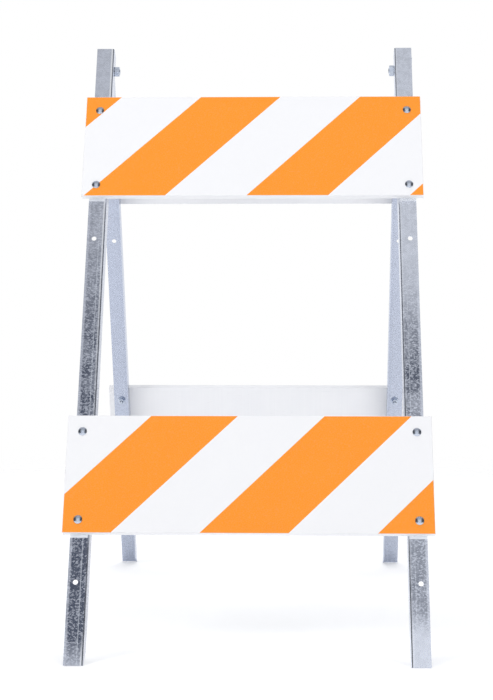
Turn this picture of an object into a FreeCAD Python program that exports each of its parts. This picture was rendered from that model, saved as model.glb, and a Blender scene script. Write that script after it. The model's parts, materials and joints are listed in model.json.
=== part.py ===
"""Folding A-frame traffic barrier.

Two leg frames of bent steel angle hang from one hinge line near their tops.  Each
frame carries an upper and a lower plastic board with striped reflective sheeting.
The barrier stands open on its four feet: X runs along the boards, the front boards
face -Y, Z is up, and the origin is on the floor under the middle of the hinge line.

Every frame is modelled upright first, with the hinge line along X through (0, 0, 0),
the legs hanging down and the boards facing -Y, and is then swung open and lifted.
"""
import FreeCAD, Part
import math
import os
from FreeCAD import Placement, Rotation, Vector

# ---- overall sizes, mm and degrees ----
open_angle = 50.0          # between the two frames, standing on the stop
board_length = 609.6
board_height = 203.2
board_thickness = 12.0
hinge_to_foot = 1110.0     # along a leg, from the hinge line to the cut end
hinge_to_front_top = 36.0  # how far a front leg runs on above the hinge

# ---- bent steel angle ----
flange = 31.75             # outside width of both flanges
steel = 2.0
bend_radius = 1.5          # inside the bend
flange_gap = 0.4           # between a front and a rear side flange
pin_offset = 22.5          # hinge line behind the face that carries the boards
foot_flat = 3.5            # side flange left uncut at the foot, heel included
stop_clearance = 0.05      # rear leg's top corner to the back of the front flange

# ---- places along a leg, measured down from the hinge line ----
upper_bolt_row = 103.5     # first bolt row of the upper board
lower_bolt_row = 722.0     # first bolt row of the lower board, front frame
rear_lower_bolt_row = 714.5
spare_hole_step = 101.0    # from a board's second bolt row to the spare hole
board_top_margin = 28.4    # from a board's top edge to its first bolt row
board_bottom_margin = 22.4 # from its second bolt row to the bottom edge
board_end_margin = 25.4    # from a board's end to the bolt line
leg_edge_to_bolts = 12.7   # front leg's outer edge to the bolt line
leg_hole_diameter = 8.7

# ---- board and sheeting ----
board_edge_radius = 0.8
sheeting_thickness = 0.5
board_hole_clearance = 0.4

# ---- board bolts: quarter-inch round-head square-neck, washer and nut ----
bolt_diameter = 6.35
bolt_length = 25.4
bolt_head_diameter = 14.6
bolt_head_height = 3.7
bolt_neck_width = 6.5
bolt_neck_depth = 4.0      # below the head, through the sheeting and into the board
washer_outer = 15.9
washer_inner = 7.1
washer_thickness = 1.5
nut_width = 11.1
nut_height = 5.6
thread_clearance = 0.1     # on the diameter, between a nut and its bolt

# ---- hinge bolt and lock nut ----
hinge_diameter = 11.1
hinge_head_width = 17.5
hinge_head_height = 7.1
hinge_nut_width = 17.5
hinge_nut_height = 9.2
hinge_clearance = 0.15     # on the diameter, between the bolt and the legs' holes
hinge_end_gap = 0.3        # bolt head to the rear leg, so that the hinge turns freely
hinge_thread_stand = 1.2   # bolt end past the lock nut
nut_chamfer_angle = 30.0

# ---- worked out from the sizes above ----
half_angle = math.radians(open_angle / 2)
bolt_span = board_length - 2 * board_end_margin
bolt_row_pitch = board_height - board_top_margin - board_bottom_margin
front_half_width = bolt_span / 2 + leg_edge_to_bolts
rear_half_width = front_half_width + steel + flange_gap
hinge_height = (hinge_to_foot * math.cos(half_angle)
                - (pin_offset - foot_flat) * math.sin(half_angle))
head_side = -pin_offset - board_thickness - sheeting_thickness
nut_side = -pin_offset + steel


def rear_top_above_hinge():
    """Height of a rear leg's top above the hinge line.

    Its forward corner rests on the back of the front flange, inside the bend,
    when the frames stand open_angle apart.
    """
    corner_reach = flange - pin_offset
    into_bend = max(bend_radius - flange_gap, 0.0)
    bend_rise = bend_radius - math.sqrt(bend_radius ** 2 - into_bend ** 2)
    back_of_flange = pin_offset - steel - bend_rise - stop_clearance
    angle = math.radians(open_angle)
    return (back_of_flange - corner_reach * math.cos(angle)) / math.sin(angle)


def frame_placement(which):
    """Swing an upright frame open about the hinge line and lift it onto its feet."""
    lift = Placement(Vector(0, 0, hinge_height), Rotation())
    if which == "front":
        return lift * Placement(Vector(), Rotation(Vector(1, 0, 0), -open_angle / 2))
    turned = Placement(Vector(), Rotation(Vector(0, 0, 1), 180))
    return lift * Placement(Vector(), Rotation(Vector(1, 0, 0), open_angle / 2)) * turned


def side_names(which):
    """Left is -X on the finished barrier; the rear frame is modelled turned round."""
    if which == "front":
        return {-1: "left", 1: "right"}
    return {-1: "right", 1: "left"}


def angle_section(half_width, side):
    """Outline of one leg, seen from above: board flange at the front, side flange inboard."""
    heel = half_width - flange
    front = -pin_offset
    outer_radius = bend_radius + steel
    corner = math.sqrt(0.5)

    def at(x, y):
        return Vector(side * x, y, 0)

    outer_centre = (heel + outer_radius, front + outer_radius)
    inner_face = heel + steel

    def on_bend(radius):
        return at(outer_centre[0] - radius * corner, outer_centre[1] - radius * corner)

    edges = [
        Part.LineSegment(at(half_width, front), at(half_width, front + steel)),
        Part.LineSegment(at(half_width, front + steel), at(outer_centre[0], front + steel)),
        Part.Arc(at(outer_centre[0], front + steel), on_bend(bend_radius),
                 at(inner_face, outer_centre[1])),
        Part.LineSegment(at(inner_face, outer_centre[1]), at(inner_face, front + flange)),
        Part.LineSegment(at(inner_face, front + flange), at(heel, front + flange)),
        Part.LineSegment(at(heel, front + flange), at(heel, outer_centre[1])),
        Part.Arc(at(heel, outer_centre[1]), on_bend(outer_radius), at(outer_centre[0], front)),
        Part.LineSegment(at(outer_centre[0], front), at(half_width, front)),
    ]
    return Part.Face(Part.Wire([edge.toShape() for edge in edges]))


def foot_clip(half_width):
    """Wedge that takes the corner off the side flange at the foot, at 45 degrees."""
    start = -pin_offset + foot_flat
    run = flange - foot_flat + steel
    corners = [(start, -hinge_to_foot), (start + run, -hinge_to_foot),
               (start + run, -hinge_to_foot + run)]
    points = [Vector(-half_width, y, z) for y, z in corners + corners[:1]]
    return Part.Face(Part.makePolygon(points)).extrude(Vector(2 * half_width, 0, 0))


def board_bolt_rows(which):
    """Distances down from the hinge of the two bolt rows of each board."""
    lower = lower_bolt_row if which == "front" else rear_lower_bolt_row
    return {"upper": (upper_bolt_row, upper_bolt_row + bolt_row_pitch),
            "lower": (lower, lower + bolt_row_pitch)}


def leg(which, side):
    """One leg: bent angle, clipped at the foot, drilled for boards, spares and hinge."""
    half_width = front_half_width if which == "front" else rear_half_width
    top = hinge_to_front_top if which == "front" else rear_top_above_hinge()
    body = angle_section(half_width, side).extrude(Vector(0, 0, top + hinge_to_foot))
    body.translate(Vector(0, 0, -hinge_to_foot))
    holes = [foot_clip(half_width)]
    for rows in board_bolt_rows(which).values():
        for row in (*rows, rows[1] + spare_hole_step):
            place = Vector(side * bolt_span / 2, -pin_offset - steel, -row)
            holes.append(Part.makeCylinder(leg_hole_diameter / 2, 3 * steel, place,
                                           Vector(0, 1, 0)))
    heel = side * (half_width - flange - steel)
    holes.append(Part.makeCylinder((hinge_diameter + hinge_clearance) / 2, 3 * steel,
                                   Vector(heel, 0, 0), Vector(side, 0, 0)))
    return body.cut(holes)


def board_bolt_places(rows):
    return [(side * bolt_span / 2, -row) for side in (-1, 1) for row in rows]


def board(rows):
    """Solid plastic board with rounded edges, holed for round shanks and square necks."""
    back = -pin_offset
    top = -rows[0] + board_top_margin
    body = Part.makeBox(board_length, board_thickness, board_height,
                        Vector(-board_length / 2, back - board_thickness, top - board_height))
    body = body.makeFillet(board_edge_radius, body.Edges)
    for x, z in board_bolt_places(rows):
        hole = Part.makeCylinder((bolt_diameter + board_hole_clearance) / 2, 2 * board_thickness,
                                 Vector(x, back - 1.5 * board_thickness, z), Vector(0, 1, 0))
        body = body.cut([hole, square_neck(x, z)])
    return body


def square_neck(x, z):
    """Square neck of one board bolt, from under its head into the board."""
    width = bolt_neck_width
    corner = Vector(x - width / 2, head_side, z - width / 2)
    return Part.makeBox(width, bolt_neck_depth, width, corner)


def sheeting(rows):
    """Sheet stuck on the board's flat face, cut just short of the rounded edges."""
    inset = board_edge_radius
    length = board_length - 2 * inset
    height = board_height - 2 * inset
    bottom = -rows[0] + board_top_margin - board_height + inset
    sheet = Part.makeBox(length, sheeting_thickness, height, Vector(-length / 2, head_side, bottom))
    return sheet.cut([square_neck(x, z) for x, z in board_bolt_places(rows)])


def dome_head():
    """Round bolt head: a cap of a sphere with a flat seat at y = 0, its crown at -Y."""
    radius = bolt_head_diameter / 2
    rim = 0.6
    rise = bolt_head_height - rim
    sphere = (radius ** 2 + rise ** 2) / (2 * rise)
    half_turn = math.asin(radius / sphere) / 2
    middle = Vector(sphere * math.sin(half_turn),
                    sphere * (1 - math.cos(half_turn)) - bolt_head_height, 0)
    crown = Vector(0, -bolt_head_height, 0)
    shoulder = Vector(radius, -rim, 0)
    outline = [Part.LineSegment(Vector(0, 0, 0), Vector(radius, 0, 0)),
               Part.LineSegment(Vector(radius, 0, 0), shoulder),
               Part.Arc(shoulder, middle, crown),
               Part.LineSegment(crown, Vector(0, 0, 0))]
    face = Part.Face(Part.Wire([edge.toShape() for edge in outline]))
    return face.revolve(Vector(0, 0, 0), Vector(0, 1, 0), 360)


def board_bolt(x, z):
    head = dome_head()
    seat = Vector(x, head_side, z)
    head.translate(seat)
    shank = Part.makeCylinder(bolt_diameter / 2, bolt_length, seat, Vector(0, 1, 0))
    return head.fuse([square_neck(x, z), shank]).removeSplitter()


def hexagon(width, height, base, direction):
    """Hexagonal prism with its outer end chamfered, standing on base along direction."""
    corner = width / math.sqrt(3)
    turns = [math.radians(60 * step) for step in range(7)]
    points = [Vector(corner * math.cos(turn), corner * math.sin(turn), 0) for turn in turns]
    prism = Part.Face(Part.makePolygon(points)).extrude(Vector(0, 0, height))
    slope = math.tan(math.radians(nut_chamfer_angle))
    blunt = width / 2
    cone_height = 4 * blunt * slope
    cone = Part.makeCone(5 * blunt, blunt, cone_height, Vector(0, 0, height - cone_height))
    solid = prism.common(cone)
    solid.Placement = Placement(base, Rotation(Vector(0, 0, 1), direction))
    return solid


def board_nut(x, z):
    seat = nut_side + washer_thickness
    nut = hexagon(nut_width, nut_height, Vector(x, seat, z), Vector(0, 1, 0))
    bore = Part.makeCylinder((bolt_diameter + thread_clearance) / 2, 2 * nut_height,
                             Vector(x, seat - nut_height / 2, z), Vector(0, 1, 0))
    return nut.cut(bore)


def board_washer(x, z):
    place = Vector(x, nut_side, z)
    ring = Part.makeCylinder(washer_outer / 2, washer_thickness, place, Vector(0, 1, 0))
    return ring.cut(Part.makeCylinder(washer_inner / 2, washer_thickness, place, Vector(0, 1, 0)))


def hinge_bolt(side):
    """Hexagon-head bolt from outboard, through the rear and then the front side flange."""
    inner_face = front_half_width - flange
    seat = rear_half_width - flange + steel + hinge_end_gap
    end = inner_face - hinge_nut_height - hinge_thread_stand
    outward = Vector(side, 0, 0)
    shank = Part.makeCylinder(hinge_diameter / 2, seat - end, outward * end, outward)
    head = hexagon(hinge_head_width, hinge_head_height, outward * seat, outward)
    return head.fuse(shank)


def hinge_nut(side):
    seat = side * (front_half_width - flange)
    inward = Vector(-side, 0, 0)
    nut = hexagon(hinge_nut_width, hinge_nut_height, Vector(seat, 0, 0), inward)
    bore = Part.makeCylinder((hinge_diameter + thread_clearance) / 2, hinge_nut_height,
                             Vector(seat, 0, 0), inward)
    return nut.cut(bore)


def build():
    """All the barrier's pieces by node name, each placed on the open barrier."""
    pieces = {}
    for which in ("front", "rear"):
        placement = frame_placement(which)

        def keep(name, solids):
            shape = solids[0] if len(solids) == 1 else Part.makeCompound(solids)
            pieces[name] = shape.transformed(placement.toMatrix())

        for side, word in side_names(which).items():
            keep(f"{which}_leg_{word}", [leg(which, side)])
        for level, rows in board_bolt_rows(which).items():
            places = board_bolt_places(rows)
            keep(f"{which}_board_{level}", [board(rows)])
            keep(f"{which}_sheeting_{level}", [sheeting(rows)])
            keep(f"{which}_bolts_{level}", [board_bolt(x, z) for x, z in places])
            keep(f"{which}_washers_{level}", [board_washer(x, z) for x, z in places])
            keep(f"{which}_nuts_{level}", [board_nut(x, z) for x, z in places])
        if which == "front":
            for side, word in side_names(which).items():
                keep(f"hinge_bolt_{word}", [hinge_bolt(side)])
                keep(f"hinge_nut_{word}", [hinge_nut(side)])
    return pieces


os.makedirs("parts", exist_ok=True)
for name, shape in build().items():
    shape.exportStep(f"parts/{name}.step")
    print(f"{name:24s} solids {len(shape.Solids)}  valid {shape.isValid()}")
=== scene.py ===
"""Looks of the folding A-frame traffic barrier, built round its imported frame."""

import json
import math

import bpy
from mathutils import Matrix, Vector


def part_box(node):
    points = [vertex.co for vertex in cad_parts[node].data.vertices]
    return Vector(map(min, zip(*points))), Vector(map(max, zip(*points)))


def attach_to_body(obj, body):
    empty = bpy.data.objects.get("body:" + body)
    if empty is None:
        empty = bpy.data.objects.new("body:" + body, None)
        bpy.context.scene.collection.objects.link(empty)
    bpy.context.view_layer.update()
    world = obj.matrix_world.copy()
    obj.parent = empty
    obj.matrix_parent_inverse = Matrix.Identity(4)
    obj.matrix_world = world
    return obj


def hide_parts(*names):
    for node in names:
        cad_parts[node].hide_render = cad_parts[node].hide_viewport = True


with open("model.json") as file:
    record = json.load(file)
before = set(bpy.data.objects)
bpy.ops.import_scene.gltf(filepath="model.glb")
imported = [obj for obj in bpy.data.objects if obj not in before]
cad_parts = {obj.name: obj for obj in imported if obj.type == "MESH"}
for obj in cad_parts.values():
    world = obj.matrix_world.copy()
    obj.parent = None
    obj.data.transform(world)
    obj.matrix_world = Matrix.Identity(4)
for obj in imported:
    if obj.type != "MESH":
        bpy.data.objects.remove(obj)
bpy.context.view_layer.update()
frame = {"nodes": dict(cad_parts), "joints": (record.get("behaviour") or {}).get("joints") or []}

# ---- sizes, metres ----
MM = 0.001
HINGE = Vector(frame["joints"][0]["pos_m"])
HALF_ANGLE = math.radians(frame["joints"][0]["range_deg"][1]) / 2
BOLT_HEAD_RADIUS = 7.3 * MM
BOLT_HEAD_HEIGHT = 3.7 * MM
BOLT_HEAD_RIM = 0.6 * MM
BOLT_RADIUS = 3.175 * MM
BOLT_LENGTH = 25.4 * MM
BOLT_THREADED = 15 * MM
BOLT_PITCH = 1.27 * MM
NUT_WIDTH = 11.1 * MM
NUT_HEIGHT = 5.6 * MM
WASHER_INNER = 3.55 * MM
WASHER_OUTER = 7.95 * MM
WASHER_THICKNESS = 1.5 * MM
HINGE_BOLT_RADIUS = 5.55 * MM
HINGE_PITCH = 1.81 * MM
HINGE_HEAD_WIDTH = 17.5 * MM
HINGE_HEAD_HEIGHT = 7.1 * MM
HINGE_NUT_HEIGHT = 9.2 * MM
HINGE_THREADED = 14 * MM
HEX_CHAMFER = math.radians(30)
STRIPE_WIDTH = 101.9 * MM
STRIPE_ANGLE = math.radians(44.55)
FIRST_ORANGE = {"upper": -80.4 * MM, "lower": 140.7 * MM}   # first orange stripe's start on the top edge
FLANGE = 31.75 * MM
BLOOM_TOP = 50 * MM          # above the hinge, where a leg's bloom profile starts
BLOOM_LENGTH = 1.2
BEND_HIGHLIGHT_FROM_HEEL = 3.8 * MM   # painted highlight line where the bend begins
TOOL_LINE_FROM_HEEL = 10.5 * MM
BOARD_REFLECTION_BAND = 5.4 * MM        # painted reflection of a board's bottom edge, just below a front board
EDGE_ROUNDING = 0.3 * MM
FLOOR_SIZE = 24
FLOOR_CENTRE = (0, 4, 0)
LIGHTS_AIM = (0, 0, 0.55)


# ---------------------------------------------------------------- placing

def frame_matrix(which):
    """From an upright frame, its hinge line at the origin and its boards at -Y, to its place."""
    if which == "front":
        return Matrix.Translation(HINGE) @ Matrix.Rotation(-HALF_ANGLE, 4, "X")
    return (Matrix.Translation(HINGE) @ Matrix.Rotation(HALF_ANGLE, 4, "X")
            @ Matrix.Rotation(math.pi, 4, "Z"))


def upright_points(node, which):
    """A CAD node's points on its upright frame."""
    back = frame_matrix(which).inverted()
    return [back @ vertex.co for vertex in frame["nodes"][node].data.vertices]


def corners(points):
    """Lowest and highest corner of the box round some points."""
    low = Vector(min(point[axis] for point in points) for axis in range(3))
    high = Vector(max(point[axis] for point in points) for axis in range(3))
    return low, high


def upright_box(node, which):
    return corners(upright_points(node, which))


# ---------------------------------------------------------------- shapes

def select_only(piece):
    bpy.ops.object.select_all(action="DESELECT")
    piece.select_set(True)
    bpy.context.view_layer.objects.active = piece


def apply_modifier(piece, kind, **settings):
    modifier = piece.modifiers.new(kind, kind)
    for name, value in settings.items():
        setattr(modifier, name, value)
    bpy.ops.object.modifier_apply(modifier=modifier.name)


def finish_piece(piece, name, smooth_angle=35):
    """Apply the piece's place, name it and smooth it below an angle."""
    bpy.ops.object.transform_apply(location=True, rotation=True, scale=True)
    bpy.ops.object.shade_smooth_by_angle(angle=math.radians(smooth_angle))
    piece.name = name
    piece.data.name = name
    return piece


def turned(rings, segments=32, hollow=False):
    """A turned piece about Z: rings of (radius, height), drawn up from one to the next.

    A hollow one runs back to its first ring, and a solid one has both its ends filled.
    """
    bpy.ops.object.select_all(action="DESELECT")
    (radius, height), *rest = rings
    fill = "NOTHING" if hollow else "NGON"
    bpy.ops.mesh.primitive_circle_add(vertices=segments, radius=radius, fill_type=fill,
                                      location=(0, 0, height))
    bpy.ops.object.transform_apply(location=True)
    bpy.ops.object.mode_set(mode="EDIT")
    bpy.ops.mesh.select_all(action="SELECT")
    if hollow:
        rest = rest + [rings[0]]
    for next_radius, next_height in rest:
        step = {"value": (0, 0, next_height - height)}
        bpy.ops.mesh.extrude_region_move(TRANSFORM_OT_translate=step)
        size = next_radius / radius
        bpy.ops.transform.resize(value=(size, size, 1), center_override=(0, 0, next_height))
        radius, height = next_radius, next_height
    bpy.ops.mesh.select_all(action="SELECT")
    if hollow:
        bpy.ops.mesh.remove_doubles(threshold=1e-6)
    bpy.ops.mesh.normals_make_consistent(inside=False)
    bpy.ops.object.mode_set(mode="OBJECT")
    return bpy.context.active_object


def threads(radius, low, high, pitch):
    """Rings of a thread between two heights, crest and root by turns."""
    depth = 0.55 * pitch
    count = round((high - low) / pitch)
    rings = []
    for turn in range(count):
        foot = low + (high - low) * turn / count
        rings += [(radius - depth, foot), (radius, foot + 0.38 * pitch), (radius, foot + 0.62 * pitch)]
    return rings


def cut(piece, tool, operation):
    """Take a tool's shape from a piece, keep only what they share or join them; the tool goes."""
    select_only(piece)
    apply_modifier(piece, "BOOLEAN", operation=operation, solver="EXACT", object=tool)
    bpy.data.objects.remove(tool)
    return piece


def hexagon(width, height):
    """Hexagonal prism standing on z = 0 with its corners turned off at both ends.

    The turned tool runs on past both ends, so that none of its faces lies on the prism's.
    """
    bpy.ops.object.select_all(action="DESELECT")
    corner = width / math.sqrt(3)
    bpy.ops.mesh.primitive_cylinder_add(vertices=6, radius=corner, depth=height,
                                        location=(0, 0, height / 2))
    bpy.ops.object.transform_apply(location=True)
    prism = bpy.context.active_object
    slope = math.tan(HEX_CHAMFER)
    face = 0.475 * width
    reach = corner * 1.05
    drop = (reach - face) * slope
    past = 0.05 * width
    end = face - past / slope
    barrel = turned([(end, -past), (reach, drop), (reach, height - drop), (end, height + past)], 48)
    return cut(prism, barrel, "INTERSECT")


def bored_nut(width, height, bore, pitch):
    """Hexagon nut on z = 0, its bore at the thread's crests and open at both mouths."""
    nut = hexagon(width, height)
    mouth = 0.35 * pitch
    rings = [(bore + 2 * mouth, -mouth), (bore - mouth, 2 * mouth),
             (bore - mouth, height - 2 * mouth), (bore + 2 * mouth, height + mouth)]
    return cut(nut, turned(rings, 32), "DIFFERENCE")


def board_bolt():
    """Round-head bolt along +Z, with its head's seat at z = 0 and its crown below."""
    tip = BOLT_LENGTH
    thread_start = tip - BOLT_THREADED
    rise = BOLT_HEAD_HEIGHT - BOLT_HEAD_RIM
    sphere = (BOLT_HEAD_RADIUS ** 2 + rise ** 2) / (2 * rise)
    widest = math.asin(BOLT_HEAD_RADIUS / sphere)
    rings = [(0.2 * MM, -BOLT_HEAD_HEIGHT)]
    for step in range(1, 10):
        turn = widest * step / 9.4
        rings.append((sphere * math.sin(turn), sphere * (1 - math.cos(turn)) - BOLT_HEAD_HEIGHT))
    rings += [(BOLT_HEAD_RADIUS - 0.1 * MM, -BOLT_HEAD_RIM - 0.15 * MM),
              (BOLT_HEAD_RADIUS, -BOLT_HEAD_RIM), (BOLT_HEAD_RADIUS, -0.12 * MM),
              (BOLT_HEAD_RADIUS - 0.12 * MM, 0), (BOLT_RADIUS, 0), (BOLT_RADIUS, thread_start)]
    rings += threads(BOLT_RADIUS, thread_start + 0.3 * MM, tip - 0.6 * MM, BOLT_PITCH)
    rings += [(BOLT_RADIUS - 0.7 * MM, tip - 0.3 * MM), (BOLT_RADIUS - 1.0 * MM, tip)]
    return turned(rings, 32)


def washer():
    """Flat washer on z = 0 with softened edges."""
    soft = 0.2 * MM
    top = WASHER_THICKNESS
    return turned([(WASHER_INNER, soft), (WASHER_INNER + soft, 0), (WASHER_OUTER - soft, 0),
                   (WASHER_OUTER, soft), (WASHER_OUTER, top - soft), (WASHER_OUTER - soft, top),
                   (WASHER_INNER + soft, top), (WASHER_INNER, top - soft)], 40, hollow=True)


def hinge_bolt(length):
    """Hexagon head below z = 0 and a threaded shank above it."""
    head = hexagon(HINGE_HEAD_WIDTH, HINGE_HEAD_HEIGHT)
    select_only(head)
    bpy.ops.transform.translate(value=(0, 0, -HINGE_HEAD_HEIGHT))
    bpy.ops.object.transform_apply(location=True)
    start = length - HINGE_THREADED
    rings = [(HINGE_BOLT_RADIUS, -1 * MM), (HINGE_BOLT_RADIUS, start)]
    rings += threads(HINGE_BOLT_RADIUS, start + 0.3 * MM, length - 0.9 * MM, HINGE_PITCH)
    rings += [(HINGE_BOLT_RADIUS - 1.0 * MM, length - 0.4 * MM), (HINGE_BOLT_RADIUS - 1.5 * MM, length)]
    return cut(head, turned(rings, 32), "UNION")


def copies(master, places, name):
    """Copies of a master at the given matrices, joined into one piece with its own mesh."""
    bpy.ops.object.select_all(action="DESELECT")
    made = []
    for place in places:
        copy = master.copy()
        copy.data = master.data.copy()
        copy.matrix_world = place
        bpy.context.collection.objects.link(copy)
        copy.select_set(True)
        made.append(copy)
    bpy.context.view_layer.objects.active = made[0]
    if len(made) > 1:
        bpy.ops.object.join()
    return finish_piece(made[0], name)


def rounded_copy(node, name):
    """A CAD node's shape with its cut edges very slightly rounded."""
    source = frame["nodes"][node]
    copy = source.copy()
    copy.data = source.data.copy()
    copy.parent = None
    copy.matrix_world = Matrix()
    bpy.context.collection.objects.link(copy)
    select_only(copy)
    bpy.ops.object.mode_set(mode="EDIT")
    bpy.ops.mesh.select_all(action="SELECT")
    bpy.ops.mesh.remove_doubles(threshold=1e-6)
    bpy.ops.mesh.dissolve_limited(angle_limit=math.radians(1))
    bpy.ops.object.mode_set(mode="OBJECT")
    apply_modifier(copy, "BEVEL", width=EDGE_ROUNDING, segments=2, limit_method="ANGLE",
                   angle_limit=math.radians(50))
    piece = finish_piece(copy, name, smooth_angle=40)
    apply_modifier(piece, "WEIGHTED_NORMAL", mode="FACE_AREA", weight=100, keep_sharp=True)
    return piece


# ---------------------------------------------------------------- shader maths

class Wire:
    """A socket of one node tree that takes part in Python expressions."""

    def __init__(self, tree, socket):
        self.tree = tree
        self.socket = socket

    def maths(self, operation, *values):
        node = self.tree.add("ShaderNodeMath", {"operation": operation}, dict(enumerate(values)))
        return self.tree.wire(node, 0)

    def __add__(self, other):
        return self.maths("ADD", self, other)

    __radd__ = __add__

    def __mul__(self, other):
        return self.maths("MULTIPLY", self, other)

    __rmul__ = __mul__

    def __sub__(self, other):
        return self.maths("SUBTRACT", self, other)

    def __rsub__(self, other):
        return self.maths("SUBTRACT", other, self)

    def __truediv__(self, other):
        return self.maths("DIVIDE", self, other)

    def wrapped(self, period):
        """Remainder in 0 to period, for what repeats along an axis."""
        return self.maths("WRAP", self, period, 0.0)

    def size(self):
        return self.maths("ABSOLUTE", self)

    def least(self, other):
        return self.maths("MINIMUM", self, other)

    def most(self, other):
        return self.maths("MAXIMUM", self, other)


class Tree:
    """A node tree and the one way of adding nodes to it."""

    def __init__(self, node_tree):
        self.nodes = node_tree.nodes
        self.links = node_tree.links
        self.nodes.clear()

    def add(self, kind, settings=(), sockets=()):
        """A node of that kind: its settings first, then the values or links of its sockets."""
        node = self.nodes.new(kind)
        for name, value in dict(settings).items():
            if name == "stops":
                self.set_stops(node.color_ramp, value)
            else:
                setattr(node, name, value)
        for name, value in dict(sockets).items():
            self.feed(node, name, value)
        return node

    def set_stops(self, ramp, stops):
        while len(ramp.elements) < len(stops):
            ramp.elements.new(1.0)
        for element, (position, grey) in zip(ramp.elements, stops):
            element.position = position
            element.color = (grey, grey, grey, 1)

    def feed(self, node, name, value):
        if isinstance(value, Wire):
            self.links.new(value.socket, node.inputs[name])
        else:
            node.inputs[name].default_value = value

    def wire(self, node, output):
        return Wire(self, node.outputs[output])

    def axes(self, place):
        """The three numbers of a vector or colour."""
        node = self.add("ShaderNodeSeparateXYZ", {}, {0: place})
        return [self.wire(node, axis) for axis in range(3)]

    def stretched(self, place, scale):
        node = self.add("ShaderNodeVectorMath", {"operation": "MULTIPLY"}, {0: place, 1: scale})
        return self.wire(node, 0)

    def noise(self, place, scale, detail=3.0, roughness=0.55, distortion=0.0):
        node = self.add("ShaderNodeTexNoise", {}, {"Vector": place, "Scale": scale, "Detail": detail,
                                                   "Roughness": roughness, "Distortion": distortion})
        return self.wire(node, 0)

    def cells(self, place, scale, feature="F1", output="Distance"):
        node = self.add("ShaderNodeTexVoronoi", {"feature": feature}, {"Vector": place, "Scale": scale})
        return self.wire(node, output)

    def between(self, value, low, high):
        """0 below low, 1 above high and a smooth step from one to the other."""
        node = self.add("ShaderNodeMapRange", {"interpolation_type": "SMOOTHSTEP"},
                        {"Value": value, "From Min": low, "From Max": high})
        return self.wire(node, 0)

    def profile(self, value, stops):
        """A grey level that follows a value in 0 to 1 through stops of (position, level)."""
        node = self.add("ShaderNodeValToRGB", {"stops": stops}, {0: value})
        grey = self.add("ShaderNodeRGBToBW", {}, {0: self.wire(node, 0)})
        return self.wire(grey, 0)

    def colour(self, factor, first, second):
        """From the first colour to the second as the factor runs from 0 to 1."""
        def solid(value):
            return value if isinstance(value, Wire) else (*value, 1)
        node = self.add("ShaderNodeMix", {"data_type": "RGBA"},
                        {0: factor, 6: solid(first), 7: solid(second)})
        return self.wire(node, 2)


class Finish(Tree):
    """One material: its shader, and the object coordinates that its patterns follow."""

    def __init__(self, name, sockets):
        self.material = bpy.data.materials.new(name)
        self.material.use_nodes = True
        super().__init__(self.material.node_tree)
        self.shader = self.add("ShaderNodeBsdfPrincipled", {}, sockets)
        self.output = self.add("ShaderNodeOutputMaterial")
        self.links.new(self.shader.outputs[0], self.output.inputs["Surface"])
        self.place = self.wire(self.add("ShaderNodeTexCoord"), "Object")

    def on_frame(self, which):
        """Coordinates of the upright frame: X across, -Y out of the boards, Z up from the hinge."""
        turn = (-HALF_ANGLE, 0, math.pi if which == "rear" else 0)
        node = self.add("ShaderNodeMapping", {"vector_type": "TEXTURE"},
                        {"Vector": self.place, "Location": tuple(HINGE), "Rotation": turn})
        return self.wire(node, 0)

    def bump(self, height, distance, strength=1.0):
        node = self.add("ShaderNodeBump", {}, {"Height": height, "Distance": distance,
                                               "Strength": strength})
        self.set("Normal", self.wire(node, 0))

    def set(self, socket, value):
        self.feed(self.shader, socket, value)


# ---------------------------------------------------------------- finishes

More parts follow.
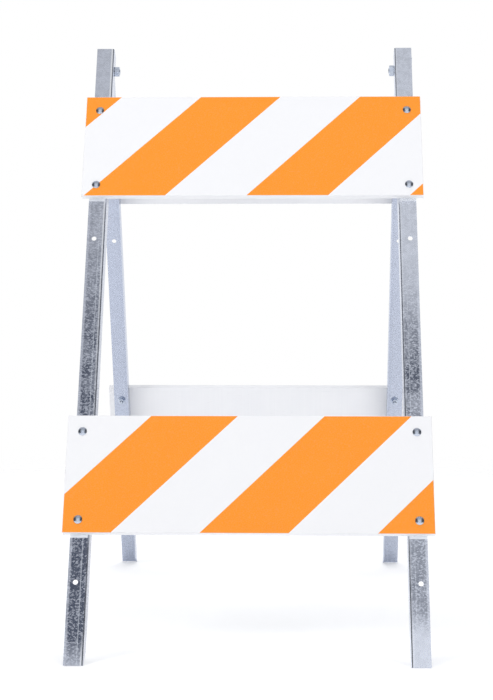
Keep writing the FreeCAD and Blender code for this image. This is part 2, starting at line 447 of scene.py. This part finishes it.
def galvanised_steel(name, which, half_width, tint, mottle, bend_highlight_strength, patina):
    """Hot-dip zinc on bent angle: spangle, a brake-tool line beside the bend, dark bloom, a painted
    highlight where the bend starts and, on front legs, a painted reflection below each board.

    The tint scales each leg's zinc colour, mottle sets how mixed the zinc is, the next number sets how
    bright the painted highlight at the start of the bend is, and patina holds the bloom's stops from a
    leg's top to its foot.
    """
    finish = Finish(name, {"Metallic": 1.0})
    place = finish.on_frame(which)
    across, _, up = finish.axes(place)
    down = (BLOOM_TOP - up) / BLOOM_LENGTH
    to_heel = across.size() - (half_width - FLANGE)
    speckled = finish.stretched(place, (1, 1, 1.25))
    grain = finish.axes(finish.cells(speckled, 420, output="Color"))[0]
    crystal = finish.axes(finish.cells(place, 95, output="Color"))[1]
    fine = finish.noise(speckled, 900, 2, 0.7)
    cloud = finish.noise(place, 30, 4, 0.6, 0.4)
    streak = finish.noise(finish.stretched(place, (420, 420, 24)), 1, 3)
    inner = finish.between(to_heel, 1.0 * MM, 4.0 * MM)
    middle = inner * (1 - finish.between(to_heel, 26.0 * MM, 29.0 * MM))
    bloom = finish.profile(down, patina)
    speck = finish.between(0.60 * fine + 0.40 * grain, 0.48, 0.66)
    patch = finish.between(cloud + 0.2 * streak, 0.45, 0.72)
    cover = bloom * (0.35 + 0.65 * middle) * (0.90 + 0.40 * patch)
    dull = (cover * (1.15 - 0.75 * speck)).least(1.0)
    tool_line = 1 - finish.between((to_heel - TOOL_LINE_FROM_HEEL).size(), 0.35 * MM, 1.1 * MM)
    tool_line = tool_line * finish.between(streak + 0.6 * bloom, 0.42, 0.80)
    light = (0.30 * grain + 0.25 * crystal + 0.25 * fine + 0.35 * streak).least(1.0)
    pale = [level * share for level, share in zip((0.66, 0.69, 0.77), tint)]
    mid = [level * (1 - mottle) for level in pale]
    bright = finish.colour(light, mid, pale)
    dark = finish.colour(grain * 0.5 + fine * 0.5, (0.055, 0.067, 0.103), (0.175, 0.195, 0.25))
    body = finish.colour(dull, bright, dark)
    body = finish.colour(tool_line * 0.55, body, (0.66, 0.70, 0.76))
    # painted highlight: a pale blue-white line where the bend starts, scaled per leg and fading out
    # where the bloom is
    bend_highlight = 1 - finish.between((to_heel - BEND_HIGHLIGHT_FROM_HEEL).size(), 0.8 * MM, 1.7 * MM)
    body = finish.colour(bend_highlight * bend_highlight_strength * (1 - bloom), body, (0.95, 0.97, 1.0))
    # painted reflection: a pale blue-white band on the front legs just below each board's bottom edge
    if which == "front":
        body = finish.colour(inner * painted_board_reflection(finish, up), body, (0.93, 0.96, 1.0))
    finish.set("Base Color", body)
    flat = finish.between(to_heel, 2.5 * MM, 6.0 * MM)
    finish.set("Roughness", 0.22 + 0.12 * grain * flat + 0.14 * dull - 0.08 * tool_line)
    relief = (0.4 * crystal + 0.5 * fine + 0.4 * cloud) * (0.15 + 0.85 * flat)
    finish.bump(relief - 0.8 * tool_line, 0.06 * MM, 0.4)
    return finish.material


def painted_board_reflection(finish, up):
    """Painted reflection: 1 in a narrow band just below each front board, and 0 elsewhere."""
    band = 0
    for level in ("upper", "lower"):
        edge = upright_box(f"front_board_{level}", "front")[0].z
        above_end = finish.between(up, edge - BOARD_REFLECTION_BAND, edge - BOARD_REFLECTION_BAND + 1.2 * MM)
        band = band + above_end * (1 - finish.between(up, edge, edge + 3 * MM))
    return band


def board_plastic(name, which):
    """White sheet plastic with faint draw lines, a few scuffs and grey in its scratches."""
    finish = Finish(name, {"IOR": 1.49, "Specular IOR Level": 0.45})
    place = finish.on_frame(which)
    draw = finish.noise(finish.stretched(place, (420, 420, 5)), 1, 3)
    cloud = finish.noise(place, 14, 4, 0.6)
    fine = finish.noise(place, 900, 2)
    scuff = finish.noise(finish.stretched(place, (35, 35, 240)), 1, 4, 0.7, 1.2)
    scuff = finish.between(scuff, 0.62, 0.74)
    body = finish.colour(0.5 * draw + 0.5 * cloud, (0.80, 0.805, 0.83), (0.89, 0.89, 0.90))
    body = finish.colour(scuff * 0.35, body, (0.62, 0.63, 0.66))
    finish.set("Base Color", body)
    finish.set("Roughness", 0.40 + 0.14 * cloud + 0.12 * scuff)
    finish.bump(0.6 * draw + 0.4 * fine + 0.5 * scuff, 0.05 * MM, 0.6)
    return finish.material


def striped_sheeting(name, which, level):
    """Reflective sheet: orange and white diagonal stripes over small raised cells."""
    finish = Finish(name, {"IOR": 1.5, "Specular IOR Level": 0.3, "Coat Weight": 0.1,
                           "Coat Roughness": 0.2})
    place = finish.on_frame(which)
    low, high = upright_box(f"{which}_board_{level}", which)
    across, _, up = finish.axes(place)
    along = (across - low.x) * math.sin(STRIPE_ANGLE) + (high.z - up) * math.cos(STRIPE_ANGLE)
    start = FIRST_ORANGE[level] * math.sin(STRIPE_ANGLE)
    inside = (along - start).wrapped(2 * STRIPE_WIDTH)
    inside = inside + (finish.noise(place, 700, 2) - 0.5) * 0.5 * MM
    edge = 0.12 * MM
    ended = finish.between(inside, STRIPE_WIDTH, STRIPE_WIDTH + edge)
    stripe = finish.between(inside, 0.0, edge) * (1 - ended)
    cell_edge = finish.cells(place, 310, "DISTANCE_TO_EDGE")
    wall = 1 - finish.between(cell_edge, 0.03, 0.12)
    cloud = finish.noise(place, 11, 4, 0.6)
    mottle = finish.noise(place, 130, 3)
    scratch = finish.noise(finish.stretched(place, (30, 30, 420)), 1, 3, 0.7, 0.8)
    scratch = finish.between(scratch, 0.68, 0.76)
    orange = finish.colour(0.5 * cloud + 0.5 * mottle, (0.93, 0.276, 0.010), (0.955, 0.310, 0.018))
    white = finish.colour(0.5 * cloud + 0.5 * mottle, (0.845, 0.845, 0.86), (0.875, 0.875, 0.885))
    body = finish.colour(stripe, white, orange)
    body = finish.colour(wall * 0.04, body, (0.75, 0.74, 0.74))
    body = finish.colour(scratch * 0.08, body, (0.80, 0.79, 0.78))
    finish.set("Base Color", body)
    finish.set("Roughness", 0.34 + 0.10 * mottle + 0.15 * scratch + 0.05 * wall)
    finish.bump(0.7 * wall + 0.5 * mottle - 0.6 * scratch, 0.06 * MM, 0.5)
    return finish.material


def zinc_plate(name):
    """Bright zinc on bolts, washers and nuts, with a faint blue cast and wear."""
    finish = Finish(name, {"Metallic": 1.0})
    cloud = finish.noise(finish.place, 190, 3)
    fine = finish.noise(finish.place, 1500, 3, 0.6)
    tarnish = finish.between(finish.noise(finish.place, 420, 4, 0.65, 0.6), 0.55, 0.72)
    body = finish.colour(cloud, (0.44, 0.50, 0.62), (0.66, 0.70, 0.76))
    body = finish.colour(tarnish * 0.5, body, (0.34, 0.35, 0.38))
    finish.set("Base Color", body)
    finish.set("Roughness", 0.16 + 0.10 * fine + 0.22 * tarnish)
    finish.bump(fine + 0.5 * cloud, 0.02 * MM, 0.5)
    return finish.material


def floor_paint():
    """Pale paint that thins out to nothing some way off, so that no edge shows."""
    finish = Finish("floor_paint", {"Roughness": 0.7, "Specular IOR Level": 0.2,
                                    "Emission Color": (1, 1, 1, 1), "Emission Strength": 0.21})
    shade = finish.noise(finish.place, 1.2, 3)
    finish.set("Base Color", finish.colour(shade, (0.90, 0.90, 0.905), (0.93, 0.93, 0.93)))
    x, y, _ = finish.axes(finish.place)
    away = finish.between(x * x + y * y, 1.2, 7.0)
    clear = finish.add("ShaderNodeBsdfTransparent")
    faded = finish.add("ShaderNodeMixShader", {}, {0: away})
    finish.links.new(finish.shader.outputs[0], faded.inputs[1])
    finish.links.new(clear.outputs[0], faded.inputs[2])
    finish.links.new(faded.outputs[0], finish.output.inputs["Surface"])
    return finish.material


# ---------------------------------------------------------------- building

def paint(piece, material):
    piece.data.materials.clear()
    piece.data.materials.append(material)


def fastener_places(node, which):
    """Where a fastener node's four pieces are on its upright frame: x, front face and z of each."""
    points = upright_points(node, which)
    middle = sum(point.z for point in points) / len(points)
    groups = {}
    for point in points:
        groups.setdefault((point.x > 0, point.z > middle), []).append(point)
    places = []
    for key in sorted(groups):
        low, high = corners(groups[key])
        places.append(((low.x + high.x) / 2, low.y, (low.z + high.z) / 2))
    return places


def into_board(which, x, y, z, turn=0):
    """Place of a piece modelled along +Z that runs from a board's face into the frame."""
    lay = Matrix.Rotation(-math.pi / 2, 4, "X") @ Matrix.Rotation(math.radians(turn), 4, "Z")
    return frame_matrix(which) @ Matrix.Translation((x, y, z)) @ lay


def attach(piece, material, body, node):
    """Paint a piece, make it ride on its body and let it stand for its CAD node."""
    paint(piece, material)
    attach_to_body(piece, body)
    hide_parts(node)


def add_fasteners(material):
    """Bolts, washers and nuts of the boards, each nut turned a little differently."""
    masters = {
        "bolts": board_bolt(),
        "nuts": bored_nut(NUT_WIDTH, NUT_HEIGHT, BOLT_RADIUS, BOLT_PITCH),
        "washers": washer(),
    }
    for which in ("front", "rear"):
        for level in ("upper", "lower"):
            for kind, master in masters.items():
                node = f"{which}_{kind}_{level}"
                places = []
                for index, (x, front, z) in enumerate(fastener_places(node, which)):
                    seat = front + BOLT_HEAD_HEIGHT if kind == "bolts" else front
                    turn = (17 * index + 11 * len(level)) % 60 if kind == "nuts" else 0
                    places.append(into_board(which, x, seat, z, turn))
                piece = copies(master, places, f"{which}_{level}_board_{kind}")
                attach(piece, material, f"{which}_frame", node)
    for master in masters.values():
        bpy.data.objects.remove(master)


def add_hinges(material):
    """A bolt through each pair of legs from outside, and its nut on the inner side."""
    low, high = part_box("hinge_bolt_right")
    inner, outer = low[0], high[0]
    nut_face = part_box("hinge_nut_right")[1][0]
    bolt = hinge_bolt(outer - HINGE_HEAD_HEIGHT - inner)
    nut = bored_nut(HINGE_HEAD_WIDTH, HINGE_NUT_HEIGHT, HINGE_BOLT_RADIUS, HINGE_PITCH)
    for side, word, nut_turn in ((-1, "left", 8), (1, "right", 33)):
        inward = Matrix.Rotation(-side * math.pi / 2, 4, "Y")
        seat = Matrix.Translation((side * (outer - HINGE_HEAD_HEIGHT), 0, HINGE.z)) @ inward
        piece = copies(bolt, [seat], f"hinge_bolt_{word}_turned")
        attach(piece, material, "front_frame", f"hinge_bolt_{word}")
        face = Matrix.Translation((side * nut_face, 0, HINGE.z)) @ inward
        place = face @ Matrix.Rotation(math.radians(nut_turn), 4, "Z")
        piece = copies(nut, [place], f"hinge_nut_{word}_chamfered")
        attach(piece, material, "front_frame", f"hinge_nut_{word}")
    for master in (bolt, nut):
        bpy.data.objects.remove(master)


def add_legs():
    """The legs, each with its tint, its mottle, how bright the painted highlight at its bend is, and its
    bloom's stops.
    """
    zinc_of_legs = {
        "front_leg_left": ((1.10, 1.10, 1.10), 0.34, 1.0,
                           [(0, 0.0), (0.10, 0.0), (0.2, 0.12), (0.29, 0.27), (0.42, 0.48),
                            (0.55, 0.70), (0.72, 0.95), (0.92, 1.0), (0.95, 0.52), (0.98, 0.20)]),
        "front_leg_right": ((1.27, 1.27, 1.26), 0.34, 0.25,
                            [(0, 0.0), (0.38, 0.04), (0.45, 0.36), (0.5, 0.56), (0.55, 0.66),
                             (0.59, 0.56), (0.8, 0.42), (0.89, 0.56), (0.925, 0.0)]),
        "rear_leg_left": ((0.77, 0.80, 0.86), 0.07, 0.0, [(0, 0.0), (1, 0.0)]),
        "rear_leg_right": ((0.85, 0.875, 0.925), 0.10, 0.0, [(0, 0.0), (0.5, 0.03), (1, 0.03)]),
    }
    for node, (tint, mottle, bend_highlight_strength, stops) in zinc_of_legs.items():
        which = node.split("_")[0]
        low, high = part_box(node)
        half_width = max(abs(low[0]), abs(high[0]))
        piece = rounded_copy(node, f"{node}_zinc")
        steel = galvanised_steel(f"galvanised_{node}", which, half_width, tint, mottle, bend_highlight_strength, stops)
        attach(piece, steel, f"{which}_frame", node)


def add_boards():
    """The boards and their sheeting keep their CAD shapes and get their finishes."""
    for which in ("front", "rear"):
        plastic = board_plastic(f"board_plastic_{which}", which)
        for level in ("upper", "lower"):
            paint(frame["nodes"][f"{which}_board_{level}"], plastic)
            sheet = frame["nodes"][f"{which}_sheeting_{level}"]
            paint(sheet, striped_sheeting(f"sheeting_{which}_{level}", which, level))


# ---------------------------------------------------------------- studio

def add_floor():
    """Wide pale floor that the barrier stands on."""
    bpy.ops.object.select_all(action="DESELECT")
    bpy.ops.mesh.primitive_plane_add(size=FLOOR_SIZE, location=FLOOR_CENTRE)
    floor = finish_piece(bpy.context.active_object, "floor")
    paint(floor, floor_paint())


def add_light(name, place, size, power):
    """Square soft light, which the steel doesn't mirror."""
    data = bpy.data.lights.new(name, "AREA")
    data.shape = "SQUARE"
    data.size = size
    data.energy = power
    light = bpy.data.objects.new(name, data)
    light.visible_glossy = False
    bpy.context.collection.objects.link(light)
    light.location = place
    light.rotation_euler = (Vector(LIGHTS_AIM) - Vector(place)).to_track_quat("-Z", "Y").to_euler()


def add_room():
    """White room, dimmer overhead and at the sides in front, as with black flags there."""
    world = bpy.data.worlds.new("studio")
    bpy.context.scene.world = world
    world.use_nodes = True
    room = Tree(world.node_tree)
    toward = room.wire(room.add("ShaderNodeTexCoord"), "Generated")
    x, y, z = room.axes(toward)
    sides = room.between(x.size(), 0.30, 0.75) * room.between(z, -0.25, 0.05)
    sides = sides * (1 - room.between(y, 0.10, 0.50))
    overhead = room.between(z, 0.55, 0.95)
    level = (1 - 0.90 * sides) * (1 - 0.40 * overhead)
    seen = room.wire(room.add("ShaderNodeLightPath"), "Is Camera Ray")
    level = level.most(seen)
    shade = room.colour(level, (0, 0, 0), (1, 1, 1))
    tinted = room.stretched(shade, (0.97, 0.985, 1.02))
    shade = room.colour(seen, tinted, shade)
    background = room.add("ShaderNodeBackground", {}, {"Color": shade, "Strength": 1.0})
    output = room.add("ShaderNodeOutputWorld")
    room.links.new(background.outputs[0], output.inputs["Surface"])
    bpy.context.scene.view_settings.view_transform = "Standard"


def add_lights():
    add_light("key", (-2.6, -2.3, 2.6), 1.6, 45)
    add_light("fill", (2.6, -2.3, 2.2), 1.5, 30)
    add_light("overhead", (0, 0.6, 6.0), 3.4, 84)


def add_camera():
    data = bpy.data.cameras.new("camera")
    data.sensor_width = 36
    data.lens = 89.75
    data.shift_x = 0.0007
    data.shift_y = -0.1298
    data.clip_end = 60
    camera = bpy.data.objects.new("camera", data)
    bpy.context.collection.objects.link(camera)
    heading = Matrix.Rotation(math.radians(1.65), 4, "Z")
    tilt = Matrix.Rotation(math.radians(90.16), 4, "X")
    roll = Matrix.Rotation(math.radians(-0.02), 4, "Z")
    place = Matrix.Translation((0.0786, -3.2523, 0.6386))
    camera.matrix_world = place @ heading @ tilt @ roll
    bpy.context.scene.camera = camera


add_legs()
add_boards()
zinc = zinc_plate("bright_zinc")
add_fasteners(zinc)
add_hinges(zinc)
add_floor()
add_room()
add_lights()
add_camera()
